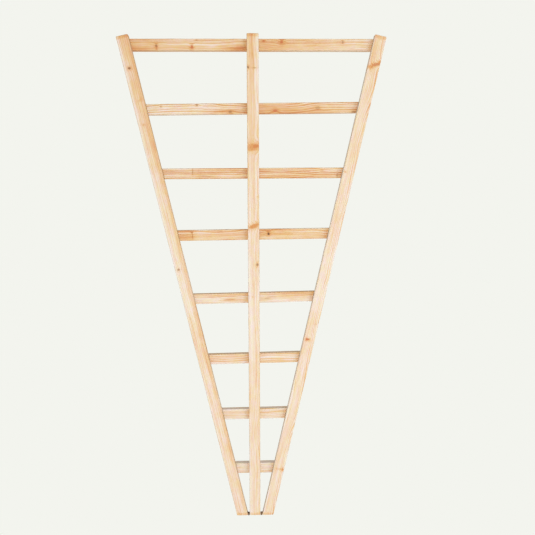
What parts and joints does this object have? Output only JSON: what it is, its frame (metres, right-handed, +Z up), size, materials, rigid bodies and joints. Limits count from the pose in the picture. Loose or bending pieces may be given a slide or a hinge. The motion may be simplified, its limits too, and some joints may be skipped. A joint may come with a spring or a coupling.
{
  "type": "fan trellis",
  "caption": "Flat wooden fan trellis for climbing plants: upright laths that spread from one foot, with level laths screwed across their backs.",
  "frame": {"origin": "on the ground, in the middle of the trellis's width and depth", "axes": "+Z up, +X along the rails to the right seen from the front, -Y towards the front, where the uprights are; the rails are at the back, +Y"},
  "size_m": [0.9396, 0.0444, 1.8],
  "materials": {
    "stile_wood": "planed softwood, untreated, lightly eased edges",
    "rail_wood": "planed softwood, untreated, a little more orange than the uprights",
    "screw_steel": "yellow-passivated zinc plating",
    "spacer_wood": "dark stained wood"
  },
  "bodies": {
    "root": {"left_stile": "stile_wood", "centre_stile": "stile_wood", "right_stile": "stile_wood", "rail_1": "rail_wood", "rail_2": "rail_wood", "rail_3": "rail_wood", "rail_4": "rail_wood", "rail_5": "rail_wood", "rail_6": "rail_wood", "rail_7": "rail_wood", "rail_8": "rail_wood", "screw_1_left": "screw_steel", "screw_1_centre": "screw_steel", "screw_1_right": "screw_steel", "screw_2_left": "screw_steel", "screw_2_centre": "screw_steel", "screw_2_right": "screw_steel", "screw_3_left": "screw_steel", "screw_3_centre": "screw_steel", "screw_3_right": "screw_steel", "screw_4_left": "screw_steel", "screw_4_centre": "screw_steel", "screw_4_right": "screw_steel", "screw_5_left": "screw_steel", "screw_5_centre": "screw_steel", "screw_5_right": "screw_steel", "screw_6_left": "screw_steel", "screw_6_centre": "screw_steel", "screw_6_right": "screw_steel", "screw_7_left": "screw_steel", "screw_7_centre": "screw_steel", "screw_7_right": "screw_steel", "screw_8_left": "screw_steel", "screw_8_centre": "screw_steel", "screw_8_right": "screw_steel", "left_foot_spacer": "spacer_wood", "right_foot_spacer": "spacer_wood"}
  },
  "joints": []
}
